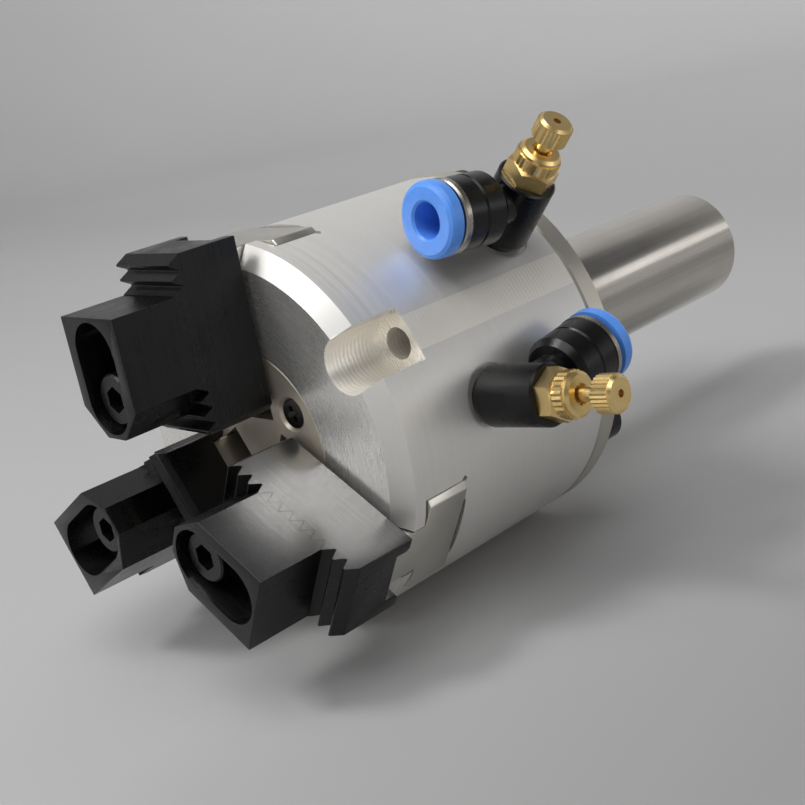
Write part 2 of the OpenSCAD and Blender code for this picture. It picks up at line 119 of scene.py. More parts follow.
def scaled(colour: Colour, share: float) -> Colour:
    """Makes a colour lighter or darker.

    Args:
        colour: The linear colour.
        share: How much of its light stays.

    Returns:
        The new colour, at most white.
    """
    red, green, blue = (min(1.0, channel * share) for channel in colour)
    return red, green, blue


# ---------- where things lie ----------


@dataclass(frozen=True)
class Axis:
    """A straight line that a surface is turned round or ground along.

    Attributes:
        point: A point on the line, in metres.
        along: Unit vector along the line.
    """

    point: Vector = Vector((0, 0, 0))
    along: Vector = Vector((1, 0, 0))


GRIPPER_AXIS = Axis()
JAWS = (1, 2, 3)
CONTROLLERS = (1, 2)
CAMERA_SIDE_JAW = 3


def joint(name: str) -> dict:
    """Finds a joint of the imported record.

    Args:
        name: Its name.

    Returns:
        The record's entry.
    """
    return next(j for j in frame["joints"] if j["name"] == name)


def jaw_direction(number: int) -> Vector:
    """Finds which way a jaw points.

    Args:
        number: Number of the jaw, 1 to 3.

    Returns:
        The unit vector from the gripper's axis out along the jaw.
    """
    return -Vector(joint(f"jaw_{number}_slide")["axis"])


# ---------- node trees ----------


class Graph:
    """A material's node tree, with short calls for adding and joining nodes."""

    def __init__(self, name: str) -> None:
        """Starts an empty material.

        Args:
            name: Name of the material.
        """
        self.material = bpy.data.materials.new(name)
        self.material.use_nodes = True
        self.nodes = self.material.node_tree.nodes
        self.links = self.material.node_tree.links
        self.nodes.clear()
        self.output = self.nodes.new("ShaderNodeOutputMaterial")
        self.place = self.nodes.new("ShaderNodeTexCoord").outputs["Object"]

    def node(self, kind: str, inputs: dict | None = None, **settings: object) -> bpy.types.Node:
        """Adds a node.

        Args:
            kind: Blender's name of the node type.
            inputs: Values or sockets for its inputs, by name or number.
            **settings: Properties of the node.

        Returns:
            The new node.
        """
        made = self.nodes.new(kind)
        for key, value in settings.items():
            setattr(made, key, value)
        for key, value in (inputs or {}).items():
            if isinstance(value, Socket):
                self.links.new(value, made.inputs[key])
            else:
                made.inputs[key].default_value = value
        return made

    def sum(self, op: str, a: object, b: object = 0.0, clamp: bool = False) -> Socket:
        """Result of a Math node.

        Args:
            op: The operation.
            a: First number or socket.
            b: Second number or socket.
            clamp: Whether the result is kept from 0 to 1.

        Returns:
            The result.
        """
        return self.node("ShaderNodeMath", {0: a, 1: b}, operation=op, use_clamp=clamp).outputs[0]

    def vector(self, op: str, a: object, b: object = None, out: int | str = 0) -> Socket:
        """Result of a Vector Math node.

        Args:
            op: The operation.
            a: First vector or socket.
            b: Second vector or socket, for operations that take two.
            out: Which result, by name or number.

        Returns:
            The result.
        """
        inputs = {0: a} if b is None else {0: a, 1: b}
        return self.node("ShaderNodeVectorMath", inputs, operation=op).outputs[out]

    def spread(self, value: object, low: float, high: float, to_low: float = 0.0,
               to_high: float = 1.0) -> Socket:
        """Maps a value from one range to another and clamps it.

        Args:
            value: Socket to map.
            low: Start of the range that comes in.
            high: End of the range that comes in.
            to_low: Start of the range that goes out.
            to_high: End of the range that goes out.

        Returns:
            The mapped value.
        """
        return self.node("ShaderNodeMapRange", {"Value": value, "From Min": low, "From Max": high,
                                                "To Min": to_low, "To Max": to_high}).outputs[0]

    def blend(self, share: object, a: object, b: object) -> Socket:
        """Mixes two colours.

        Args:
            share: How much of the second colour.
            a: First colour or socket.
            b: Second colour or socket.

        Returns:
            The mixed colour.
        """
        made = self.node("ShaderNodeMix", data_type="RGBA")
        for socket, value in ((made.inputs[0], share), (made.inputs[6], a), (made.inputs[7], b)):
            if isinstance(value, Socket):
                self.links.new(value, socket)
            else:
                socket.default_value = (*value, 1) if isinstance(value, tuple) else value
        return made.outputs[2]

    def noise(self, vector: object, scale: float, detail: float = 3.0,
              rough: float = 0.5) -> Socket:
        """Noise from 0 to 1.

        Args:
            vector: Where to read it.
            scale: Waves for each unit of the vector.
            detail: Octaves.
            rough: Weight of the finer octaves.

        Returns:
            The noise value.
        """
        return self.node("ShaderNodeTexNoise", {"Vector": vector, "Scale": scale, "Detail": detail,
                                                "Roughness": rough}).outputs[0]

    def across(self, axis: Axis) -> tuple[Socket, Socket]:
        """Height along an axis and distance from it, both in metres.

        Args:
            axis: The line that they are measured from.

        Returns:
            Height and distance.
        """
        off = self.vector("SUBTRACT", self.place, axis.point)
        height = self.vector("DOT_PRODUCT", off, axis.along, out="Value")
        side = self.vector("CROSS_PRODUCT", off, axis.along)
        return height, self.vector("LENGTH", side, out="Value")

    def along_marks(self, grain: "Grain", axis: Axis) -> Socket:
        """Direction in which the tool marks run.

        Args:
            grain: Way that they lie.
            axis: The line that they follow.

        Returns:
            A vector in world space.
        """
        if grain is Grain.TURNED:
            off = self.vector("SUBTRACT", self.place, axis.point)
            found = self.vector("CROSS_PRODUCT", axis.along, off)
        else:
            found = self.node("ShaderNodeCombineXYZ", dict(enumerate(axis.along))).outputs[0]
        return self.node("ShaderNodeVectorTransform", {0: found}, vector_type="VECTOR",
                         convert_from="OBJECT", convert_to="WORLD").outputs[0]

    def bump(self, height: object, distance: float, strength: float = 1.0,
             normal: object = None) -> Socket:
        """Normal tilted by a height.

        Args:
            height: Height from 0 to 1.
            distance: Real height of 1, in metres.
            strength: Share of the effect.
            normal: Normal to start from.

        Returns:
            The new normal.
        """
        inputs = {"Height": height, "Distance": distance, "Strength": strength}
        if normal is not None:
            inputs["Normal"] = normal
        return self.node("ShaderNodeBump", inputs).outputs[0]

    def shade(self, **inputs: object) -> bpy.types.Material:
        """Ends the tree with a Principled shader.

        Args:
            **inputs: Its inputs, with spaces written as underscores.

        Returns:
            The finished material.
        """
        shader = self.node("ShaderNodeBsdfPrincipled",
                           {k.replace("_", " "): v for k, v in inputs.items()})
        self.links.new(shader.outputs[0], self.output.inputs[0])
        return self.material


class Grain(Enum):
    """Which way a tool left its marks."""

    TURNED = "round the axis"
    LENGTHWISE = "along the axis"
    BLASTED = "no direction"


def tool_marks(g: Graph, grain: Grain, axis: Axis, pitch: float) -> Socket:
    """Fine marks that a tool left on a surface.

    Args:
        g: The node tree to add them to.
        grain: Their direction.
        axis: The line that they follow.
        pitch: Distance between them, in metres.

    Returns:
        Their height from 0 to 1.
    """
    if grain is Grain.BLASTED:
        return g.noise(g.place, 1 / pitch, 4, 0.6)
    height, away = g.across(axis)
    if grain is Grain.TURNED:
        where = g.node("ShaderNodeCombineXYZ", {0: height, 1: away}).outputs[0]
        return g.noise(where, 1 / pitch, 3, 0.65)
    along = g.sum("MULTIPLY", height, LENGTHWISE_PULL)
    shift = g.node("ShaderNodeVectorMath", {0: axis.along, "Scale": along}, operation="SCALE")
    where = g.vector("SUBTRACT", g.place, shift.outputs[0])
    return g.noise(where, 1 / pitch, 3, 0.65)


def rounded_edges(g: Graph, width: float) -> Socket:
    """Mask of the edges of a piece.

    Args:
        g: The node tree to add it to.
        width: How far from the edge it reaches, in metres.

    Returns:
        A mask, 1 on the edges.
    """
    rounded = g.node("ShaderNodeBevel", {"Radius": width}, samples=6).outputs[0]
    plain = g.node("ShaderNodeNewGeometry").outputs["Normal"]
    return g.spread(g.vector("DOT_PRODUCT", rounded, plain, out="Value"), 0.995, 0.93)


def facing_along(g: Graph, way: Vector) -> Socket:
    """How squarely a face looks along a direction.

    Args:
        g: The node tree.
        way: The direction, of length 1.

    Returns:
        1 on faces square to it, less on others.
    """
    plain = g.node("ShaderNodeNewGeometry").outputs["True Normal"]
    return g.vector("DOT_PRODUCT", plain, way, out="Value")


def worn_and_glint_edges(g: Graph, width: float, breakup: Socket) -> Socket:
    """Mask of the edges of a piece, broken up by noise.

    Args:
        g: The node tree to add it to.
        width: How far from the edge it reaches, in metres.
        breakup: Noise that leaves gaps in it.

    Returns:
        A mask, 1 on the edges.
    """
    gaps = g.spread(breakup, 0.35, 0.6)
    return g.sum("MULTIPLY", rounded_edges(g, width), gaps, clamp=True)


@dataclass(frozen=True)
class Metal:
    """Bare metal with tool marks and faint clouds.

    Attributes:
        name: Name of the material.
        colour: Base colour.
        rough: Roughness of the clean surface.
        grain: Direction of the tool marks.
        axis: Line that the marks follow.
        pitch: Distance between the marks, in metres.
        groove: Depth of the marks, in metres.
        shade: How much the marks darken the colour.
        stain: How much clouds darken it.
        clouds: Waves of the clouds for each metre.
        stretch: How far the marks pull reflections out across them.
        metallic: 1 for bare metal.
    """

    name: str
    colour: Colour
    rough: float
    grain: Grain
    axis: Axis = GRIPPER_AXIS
    pitch: float = 0.35 * MM
    groove: float = 0.002 * MM
    shade: float = 0.06
    stain: float = 0.06
    clouds: float = 70
    stretch: float = 0.0
    metallic: float = 1.0

    def relief(self, g: Graph, marks: Socket) -> Socket:
        """Normal of the marked surface.

        Args:
            g: The node tree.
            marks: Height of the tool marks.

        Returns:
            The normal.
        """
        return g.bump(marks, self.groove)

    def tint(self, g: Graph, colour: Socket) -> Socket:
        """Colour of the surface, for finishes that change it in places.

        Args:
            g: The node tree.
            colour: Colour of the marked surface.

        Returns:
            The colour.
        """
        return colour

    def polish(self, g: Graph, rough: Socket) -> Socket:
        """Roughness of the surface, for finishes that change it in places.

        Args:
            g: The node tree.
            rough: Roughness of the marked surface.

        Returns:
            The roughness.
        """
        return rough

    def build(self) -> bpy.types.Material:
        """Makes the material.

        Returns:
            The finished material.
        """
        g = Graph(self.name)
        marks = tool_marks(g, self.grain, self.axis, self.pitch)
        cloud = g.noise(g.place, self.clouds, 4, 0.55)
        dark = scaled(self.colour, 1 - self.shade)
        colour = g.blend(g.spread(marks, 0.35, 0.65), dark, self.colour)
        stained = scaled(self.colour, 0.6)
        colour = g.blend(g.spread(cloud, 0.45, 0.75, 0, self.stain * 2), colour, stained)
        rough = g.sum("ADD", g.spread(marks, 0.3, 0.7, self.rough * 0.92, self.rough * 1.08),
                      g.spread(cloud, 0.3, 0.7, -0.025, 0.03))
        inputs = {}
        if self.stretch:
            inputs["Tangent"] = g.along_marks(self.grain, self.axis)
        return g.shade(Base_Color=self.tint(g, colour), Roughness=self.polish(g, rough),
                       Normal=self.relief(g, marks), Metallic=self.metallic,
                       Anisotropic=self.stretch, Anisotropic_Rotation=ACROSS_MARKS, **inputs)


@dataclass(frozen=True)
class MilledBody(Metal):
    """Turned aluminium whose bolt grooves show the steps of the milling cutter.

    Attributes:
        groove_axes: Axes of the bolt grooves.
        groove_radius: How far from its axis a groove reaches, in metres.
        groove_colour: Colour of the grooves' walls.
        step: Distance between two steps of the cutter, in metres.
        step_height: Height of a step, in metres.
        wobble: Waves for each metre of the noise that bends the steps.
        wander: How far it moves them, in radians of their wave.
        faced: Roughness of the faced front, as a share of the turned side's.
    """

    groove_axes: tuple[Axis, ...] = ()
    groove_radius: float = 5.0 * MM
    groove_colour: Colour = srgb(252, 248, 240)
    step: float = 0.85 * MM
    step_height: float = 0.05 * MM
    wobble: float = 500
    wander: float = 5.0
    faced: float = 0.55

    def inside(self, g: Graph) -> Socket:
        """Mask of the grooves' walls.

        Args:
            g: The node tree.

        Returns:
            A mask, 1 inside the grooves.
        """
        nearest = None
        for axis in self.groove_axes:
            away = g.across(axis)[1]
            nearest = away if nearest is None else g.sum("MINIMUM", nearest, away)
        return g.spread(nearest, self.groove_radius, self.groove_radius - 0.05 * MM)

    def tint(self, g: Graph, colour: Socket) -> Socket:
        """Colour with bright grooves.

        Args:
            g: The node tree.
            colour: Colour of the turned surface.

        Returns:
            The colour.
        """
        return g.blend(self.inside(g), colour, self.groove_colour)

    def polish(self, g: Graph, rough: Socket) -> Socket:
        """Roughness, lower on the faced front.

        Args:
            g: The node tree.
            rough: Roughness of the turned surface.

        Returns:
            The roughness.
        """
        facing = facing_along(g, self.axis.along)
        return g.sum("MULTIPLY", rough, g.spread(facing, 0.95, 0.98, 1.0, self.faced))

    def relief(self, g: Graph, marks: Socket) -> Socket:
        """Normal with the cutter's steps inside the grooves.

        Args:
            g: The node tree.
            marks: Height of the tool marks.

        Returns:
            The normal.
        """
        height, _ = g.across(self.axis)
        bend = g.noise(g.place, self.wobble, 2, 0.5)
        phase = g.sum("ADD", g.sum("MULTIPLY", height, 2 * math.pi / self.step),
                      g.sum("MULTIPLY", bend, self.wander))
        steps = g.sum("MULTIPLY", g.spread(g.sum("SINE", phase), -1, 1), self.inside(g))
        return g.bump(steps, self.step_height, 0.55, g.bump(marks, self.groove))


@dataclass(frozen=True)
class BlackOxide:
    """Blackened steel: nearly black, with milling lines that catch the light.

    Attributes:
        name: Name of the material.
        axis: Line along which the piece was milled.
        colour: Colour of the oxide.
        rough: Roughness.
        pitch: Distance between the milling lines, in metres.
        groove: Their depth, in metres.
        edge: Width of the lightened edges, in metres.
        worn_and_glint_colour: Colour of the lightened edges, partly wear and partly painted glint.
        worn_and_glint_share: How far the edges are lightened, partly as wear and partly as painted
            glint.
        line_light: How much lighter the milling lines are.
        clouds: Waves of the clouds for each metre.
        gaps: Waves for each metre of the noise that breaks up the lightened edges.
        gloss: Specular level.
        ground: Normal of a side that was ground and oiled, if there is one.
        oil_ior: Refractive index of the oiled side.
        oil_rough: Its roughness.
    """

    name: str
    axis: Axis
    colour: Colour = srgb(9, 9, 10)
    rough: float = 0.3
    pitch: float = 0.42 * MM
    groove: float = 0.003 * MM
    edge: float = 0.12 * MM
    worn_and_glint_colour: Colour = srgb(110, 108, 104)
    worn_and_glint_share: float = 0.22
    line_light: float = 2.2
    clouds: float = 140
    gaps: float = 1500
    gloss: float = 0.36
    ground: Vector | None = None
    oil_ior: float = 2.5
    oil_rough: float = 0.22

    def build(self) -> bpy.types.Material:
        """Makes the material.

        Returns:
            The finished material.
        """
        g = Graph(self.name)
        lines = tool_marks(g, Grain.LENGTHWISE, self.axis, self.pitch)
        cloud = g.noise(g.place, self.clouds, 4, 0.6)
        fine = g.noise(g.place, self.gaps, 2, 0.5)
        light = scaled(self.colour, self.line_light)
        colour = g.blend(g.spread(lines, 0.42, 0.62), self.colour, light)
        # edges are lightened towards a pale grey, partly as wear and partly as painted glints
        # where sharp edges would catch the light
        worn_and_glint_mask = worn_and_glint_edges(g, self.edge, fine)
        colour = g.blend(g.sum("MULTIPLY", worn_and_glint_mask, self.worn_and_glint_share), colour, self.worn_and_glint_colour)
        rough = g.sum("ADD", g.spread(lines, 0.35, 0.65, self.rough * 0.85, self.rough * 1.15),
                      g.spread(cloud, 0.35, 0.7, -0.03, 0.06))
        oil = {}
        if self.ground is not None:
            facing = facing_along(g, self.ground)
            flat = g.sum("SUBTRACT", 1.0, rounded_edges(g, self.edge))
            oil = {"Coat_Weight": g.sum("MULTIPLY", g.spread(facing, 0.95, 0.98), flat),
                   "Coat_IOR": self.oil_ior, "Coat_Roughness": self.oil_rough}
        return g.shade(Base_Color=colour, Roughness=rough, Normal=g.bump(lines, self.groove),
                       Specular_IOR_Level=self.gloss, Anisotropic=0.5,
                       Anisotropic_Rotation=ACROSS_MARKS, **oil,
                       Tangent=g.along_marks(Grain.LENGTHWISE, self.axis))


@dataclass(frozen=True)
class Plastic:
    """Moulded plastic with a faint texture.

    Attributes:
        name: Name of the material.
        colour: Colour of the plastic.
        rough: Roughness.
        grain: Size of the surface texture, in metres.
        relief: Height of the texture, in metres.
        gloss: Specular level.
        clouds: Waves of the clouds for each metre.
    """

    name: str
    colour: Colour
    rough: float = 0.3
    grain: float = 0.25 * MM
    relief: float = 0.0015 * MM
    gloss: float = 0.45
    clouds: float = 220

    def build(self) -> bpy.types.Material:
        """Makes the material.

        Returns:
            The finished material.
        """
        g = Graph(self.name)
        texture = g.noise(g.place, 1 / self.grain, 2, 0.5)
        cloud = g.noise(g.place, self.clouds, 3, 0.55)
        deep = scaled(self.colour, 0.84)
        colour = g.blend(g.spread(cloud, 0.35, 0.65), deep, self.colour)
        rough = g.spread(cloud, 0.3, 0.7, self.rough * 0.85, self.rough * 1.2)
        return g.shade(Base_Color=colour, Roughness=rough, Normal=g.bump(texture, self.relief),
                       Specular_IOR_Level=self.gloss)


@dataclass(frozen=True)
class TableTop:
    """Pale grey table and wall, darkened by painted shade on the camera's side and lightened by
    painted light on the far side.

    Attributes:
        name: Name of the material.
        colour: Its colour.
        painted_shade_near: Share of the colour's light on the side of the camera, darkened as
            painted shade.
        painted_shade_from: Where the painted shade starts and ends, along Y in metres.
        far: Share of it on the far side, lightened as painted light.
        painted_light_from: Where the painted light starts and ends, along X in metres.
        texture: Height of the surface's texture, in metres.
        clouds: Waves of the clouds for each metre.
        specks: Waves of the texture for each metre.
    """

    name: str = "table"
    colour: Colour = srgb(187, 187, 187)
    painted_shade_near: float = 0.68
    painted_shade_from: tuple[float, float] = (0.01, 0.095)
    far: float = 1.85
    painted_light_from: tuple[float, float] = (-0.3, -1.3)
    texture: float = 0.02 * MM
    clouds: float = 3
    specks: float = 700

    def build(self) -> bpy.types.Material:
        """Makes the material.

        Returns:
            The finished material.
        """
        g = Graph(self.name)
        cloud = g.noise(g.place, self.clouds, 4, 0.5)
        fine = g.noise(g.place, self.specks, 2, 0.5)
        dark = scaled(self.colour, 0.95)
        colour = g.blend(g.spread(cloud, 0.35, 0.65), dark, self.colour)
        # painted shade darkens the table on the camera's side, where the gripper's shadow falls,
        # and painted light brightens its far side in place of the lamps' spread
        split = g.node("ShaderNodeSeparateXYZ", {0: g.place}).outputs
        painted_shade_near, far = scaled(self.colour, self.painted_shade_near), scaled(self.colour, self.far)
        colour = g.blend(g.spread(split["Y"], *self.painted_shade_from), colour, painted_shade_near)
        colour = g.blend(g.spread(split["X"], *self.painted_light_from), colour, far)
        return g.shade(Base_Color=colour, Roughness=0.75, Specular_IOR_Level=0.25,
                       Normal=g.bump(fine, self.texture, 0.4))


# ---------- dressing CAD nodes ----------


def dress(node: str, material: bpy.types.Material) -> None:
    """Gives a CAD node a material.

    Args:
        node: Name of the node.
        material: Material for all its faces.
    """
    thing = frame["nodes"][node]
    if not thing.material_slots:
        thing.data.materials.append(material)
    for place in thing.material_slots:
        place.material = material
    log.info("dressed %s with %s", node, material.name)


def new_piece(name: str, bm: bmesh.types.BMesh, material: bpy.types.Material) -> bpy.types.Object:
    """Turns a mesh that code has built into a piece of the scene.

    Args:
        name: Name of the piece.
        bm: Its mesh in world space, freed here.
        material: Material for all its faces.

    Returns:
        The piece.
    """
    mesh = bpy.data.meshes.new(name)
    bm.to_mesh(mesh)
    bm.free()
    mesh.set_sharp_from_angle(angle=SMOOTH_BELOW)
    mesh.materials.append(material)
    piece = bpy.data.objects.new(mesh.name, mesh)
    bpy.context.scene.collection.objects.link(piece)
    return piece


def softened(node: str, width: float, material: bpy.types.Material) -> None:
    """Puts a copy of a CAD node in its place, with its sharp outer edges broken.

    Args:
        node: Name of the node.
        width: Width of the broken edges, in metres.
        material: Material for all its faces.
    """
    source = frame["nodes"][node]
    bm = bmesh.new()
    bm.from_mesh(source.data)
    bm.transform(source.matrix_world)
    bmesh.ops.remove_doubles(bm, verts=bm.verts, dist=WELD)
    bmesh.ops.dissolve_limit(bm, angle_limit=FLAT_BELOW, verts=bm.verts, edges=bm.edges,
                             use_dissolve_boundaries=False, delimit=set())
    shortest, shortest_beside = 4 * width, 2.2 * width
    sharp = [e for e in bm.edges if len(e.link_faces) == 2 and e.calc_length() > shortest
             and e.calc_face_angle_signed() > BREAK_ABOVE
             and all(n.calc_length() > shortest_beside for v in e.verts for n in v.link_edges)]
    bmesh.ops.bevel(bm, geom=sharp, offset=width, offset_type="OFFSET", segments=2, profile=0.6,
                    affect="EDGES", clamp_overlap=False)
    for face in bm.faces:
        face.smooth = True
    piece = new_piece(f"{node}_softened", bm, material)
    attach(piece, body_of(source)[0])
    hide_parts(node)
    log.info("softened %s: %d edges", node, len(sharp))


# ---------- sub-assemblies ----------


@dataclass
class Housing:
    """Body, rear cover, disc and shank: all that is turned on the gripper's axis.

    Attributes:
        body: Finish of the body.
        cover: Finish of the rear cover.
        disc: Finish of the disc in the front face.
        shank: Finish of the shank.
    """

    body: MilledBody = field(init=False)
    cover: Metal = Metal("turned_cover", srgb(214, 209, 198), 0.36, Grain.TURNED, stretch=0.4)
    disc: Metal = Metal("turned_disc", srgb(218, 208, 192), 0.42, Grain.TURNED, stretch=0.3,
                        metallic=0.7)
    shank: Metal = Metal("ground_shank", srgb(208, 203, 195), 0.17, Grain.LENGTHWISE,
                         pitch=0.5 * MM, groove=0.0008 * MM, shade=0.12)

    def __post_init__(self) -> None:
        """Finds the bolt grooves for the body's finish."""
        holes = next(m for m in frame["record"]["mounts"] if m["name"] == "mounting_holes")
        radius = holes["dims"]["pcd_mm"] * MM / 2
        lines = tuple(Axis(Vector((0, -radius * math.sin(a), radius * math.cos(a))))
                      for a in (math.radians(60 + 120 * k) for k in range(3)))
        self.body = MilledBody("turned_body", srgb(236, 234, 230), 0.5, Grain.TURNED,
                               pitch=0.3 * MM, groove=0.0015 * MM, shade=0.04, stain=0.04,
                               stretch=0.35, metallic=0.8, groove_axes=lines)

    def build(self) -> None:
        """Dresses the housing's pieces."""
        dress("body_housing", self.body.build())
        dress("rear_cover", self.cover.build())
        dress("cover_disc", self.disc.build())
        dress("shank", self.shank.build())


@dataclass
class DiscScrews:
    """Countersunk screws of the disc, with a cross recess in each head.

    Attributes:
        steel: Finish of the screws.
        profile: Radius and height of the points around the screw, in metres.
        arm: How far an arm of the cross reaches, at the top and at the bottom.
        half: Half the width of an arm, at the top and at the bottom.
        inner_corner: How far the inner corners stand out, as a share of the half width.
        depth: Depth of the recess.
        turn: How far the cross is turned, in radians.
        segments: Faces around the screw.
    """

    steel: Metal = Metal("disc_screw", srgb(112, 110, 107), 0.16, Grain.BLASTED)
    profile: tuple[tuple[float, float], ...] = (
        (1.2 * MM, -9 * MM), (1.5 * MM, -8.7 * MM), (1.5 * MM, -1.4 * MM),
        (2.65 * MM, -0.1 * MM), (2.55 * MM, 0.0))
    arm: tuple[float, float] = (1.45 * MM, 0.75 * MM)
    half: tuple[float, float] = (0.36 * MM, 0.26 * MM)
    inner_corner: float = 1.2
    depth: float = 1.15 * MM
    turn: float = math.radians(20)
    segments: int = 48

    def cross(self, place: Matrix, arm: float, half: float, height: float) -> list[Vector]:
        """Outline of the cross.

        Args:
            place: Where the screw is.
            arm: Reach of an arm.
            half: Half the width of an arm.
            height: Height over the head.

        Returns:
            Its twelve points in order.
        """
        inner = half * self.inner_corner
        quarter = ((arm, -half), (arm, half), (inner, inner))
        points = []
        for k in range(4):
            spin = Matrix.Rotation(self.turn + k * math.pi / 2, 3, "Z")
            points += [place @ (spin @ Vector((x, y, height))) for x, y in quarter]
        return points

    def screw(self, bm: bmesh.types.BMesh, place: Matrix) -> None:
        """Adds one screw.

        Args:
            bm: Mesh that takes it.
            place: Where the middle of its head is, with Z out of the head.
        """
        angles = [2 * math.pi * k / self.segments for k in range(self.segments)]
        rings = [[bm.verts.new(place @ Vector((r * math.cos(a), r * math.sin(a), z)))
                  for a in angles] for r, z in self.profile]
        mouth = self.cross(place, self.arm[0], self.half[0], 0.0)
        floor = self.cross(place, self.arm[1], self.half[1], -self.depth)
        recess = [[bm.verts.new(point) for point in ring] for ring in (mouth, floor)]
        bm.faces.new(list(reversed(rings[0])))
        for low, high in [*zip(rings, rings[1:]), recess]:
            for k in range(len(low)):
                n = (k + 1) % len(low)
                bm.faces.new((low[k], low[n], high[n], high[k])).smooth = True
        bm.faces.new(recess[1])
        rims = [bm.edges.get((ring[k - 1], ring[k])) for ring in (rings[-1], recess[0])
                for k in range(len(ring))]
        bmesh.ops.triangle_fill(bm, edges=rims, use_beauty=True)

    def build(self) -> None:
        """Builds the three screws where the CAD node has them."""
        source = frame["nodes"]["cover_screws"]
        corners = [source.matrix_world @ v.co for v in source.data.vertices]
        top = max(corner.x for corner in corners)
        upright = GRIPPER_AXIS.along.to_track_quat("Z", "Y").to_matrix().to_4x4()
        bm = bmesh.new()
        for number in JAWS:
            out = -jaw_direction(number)
            reach = [corner.dot(out) for corner in corners if corner.dot(out) > 0]
            middle = GRIPPER_AXIS.along * top + out * ((min(reach) + max(reach)) / 2)
            self.screw(bm, Matrix.Translation(middle) @ upright)
        bmesh.ops.recalc_face_normals(bm, faces=bm.faces)
        piece = new_piece("cross_screws", bm, self.steel.build())
        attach(piece, body_of(source)[0])
        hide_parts("cover_screws")
        log.info("built %s", piece.name)


@dataclass
class Drive:
    """Wedge piston and piston inside the body.

    Attributes:
        steel: Finish of the wedge piston.
        alloy: Finish of the piston.
        seal: Rubber of all seals.
    """

    steel: Metal = Metal("wedge_steel", srgb(170, 172, 176), 0.25, Grain.LENGTHWISE)
    alloy: Metal = Metal("piston_alloy", srgb(215, 215, 212), 0.3, Grain.TURNED)
    seal: Plastic = Plastic("seal_rubber", srgb(24, 24, 24), 0.6)

    def build(self) -> None:
        """Dresses the drive's pieces."""
        dress("wedge_piston", self.steel.build())
        dress("piston", self.alloy.build())
        seal = self.seal.build()
        for node in ("piston_seal", "rod_seal", "hose_seal_1", "hose_seal_2"):
            dress(node, seal)


@dataclass
class Jaw:
    """One of the three jaws, from its guide to its top jaw.

    Attributes:
        number: 1 to 3.
        guide: Finish of the master jaw.
        black: Finish of the base jaw and the top jaw.
        guide_edge: Width of the master jaw's broken edges, in metres.
        black_edge: Width of the broken edges of the other two, in metres.
    """

    number: int
    guide: Metal = field(init=False)
    black: BlackOxide = field(init=False)
    guide_edge: float = 0.2 * MM
    black_edge: float = 0.16 * MM

    def __post_init__(self) -> None:
        """Points the finishes along the jaw."""
        out = Axis(Vector((0, 0, 0)), jaw_direction(self.number))
        self.guide = Metal(f"guide_steel_{self.number}", srgb(222, 218, 210), 0.33,
                           Grain.BLASTED, out, pitch=0.5 * MM, groove=0.0004 * MM)
        side = GRIPPER_AXIS.along.cross(out.along)
        self.black = BlackOxide(f"black_jaw_{self.number}", out,
                                ground=side if self.number == CAMERA_SIDE_JAW else None)

    def build(self) -> None:
        """Dresses the jaw's pieces."""
        guide = self.guide.build()
        softened(f"master_jaw_{self.number}", self.guide_edge, guide)
        black = self.black.build()
        for part in ("base_jaw", "top_jaw"):
            softened(f"{part}_{self.number}", self.black_edge, black)


@dataclass
class SpeedController:
    """One elbow speed controller.

    Attributes:
        number: 1 for the rear chamber, 2 for the front one.
        brass: Finish of the valve core, the lock nut, the needle and the knob.
        shell: Plastic of the elbow and the washer under it.
        blue: Plastic of the release ring.
        ring: Finish of the port ring and the grip ring.
    """

    number: int
    brass: Metal = field(init=False)
    shell: Plastic = Plastic("elbow_black", srgb(10, 10, 12), 0.27, gloss=0.38)
    blue: Plastic = Plastic("release_blue", srgb(96, 160, 255), 0.32)
    ring: Metal = Metal("port_ring", srgb(178, 172, 163), 0.27, Grain.BLASTED,
                        groove=0.0005 * MM, stain=0.03)

    def __post_init__(self) -> None:
        """Turns the brass round the valve's axis."""
        pivot = joint(f"elbow_{self.number}_swivel")
        axis = Axis(Vector(pivot["pos_m"]), Vector(pivot["axis"]))
        self.brass = Metal(f"brass_{self.number}", srgb(250, 218, 150), 0.3, Grain.TURNED, axis,
                           pitch=0.3 * MM, groove=0.003 * MM, shade=0.12, stain=0.1)

    def build(self) -> None:
        """Dresses the controller's pieces."""
        brass = self.brass.build()
        for part in ("valve_core", "lock_nut", "needle", "knob"):
            dress(f"{part}_{self.number}", brass)
        dress(f"elbow_{self.number}", self.shell.build())
        dress(f"collet_{self.number}", self.blue.build())
        dress(f"port_ring_{self.number}", self.ring.build())
        dress(f"grip_ring_{self.number}", self.ring.build())
        dress(f"seat_washer_{self.number}", self.shell.build())


@dataclass
class BlackScrews:
    """All blackened cap screws.

    Attributes:
        steel: Finish of the screws.
    """

    steel: BlackOxide = BlackOxide("screw_black", GRIPPER_AXIS, rough=0.3)

    def build(self) -> None:
        """Dresses the screws."""
        black = self.steel.build()
        names = ["rear_cover_screws", "piston_screw"]
        names += [f"{part}_screw_{n}" for part in ("base", "top") for n in JAWS]
        for name in names:
            dress(name, black)


# ---------- room ----------


@dataclass(frozen=True)
class Lamp:
    """An area lamp that points at the gripper.

    Attributes:
        name: Its name.
        spot: Where it hangs, in metres.
        width: Its level side, in metres.
        height: Its other side, in metres.
        watts: Its power.
    """

    name: str
    spot: Vector
    width: float
    height: float
    watts: float

    def build(self, target: Vector) -> None:
        """Hangs the lamp.

        Args:
            target: What it points at.
        """
        data = bpy.data.lights.new(self.name, "AREA")
        data.shape = "RECTANGLE"
        data.size, data.size_y = self.width, self.height
        data.energy = self.watts
        lamp = bpy.data.objects.new(self.name, data)
        lamp.location = self.spot
        lamp.rotation_mode = "QUATERNION"
        lamp.rotation_quaternion = (target - self.spot).to_track_quat("-Z", "Y")
        bpy.context.scene.collection.objects.link(lamp)


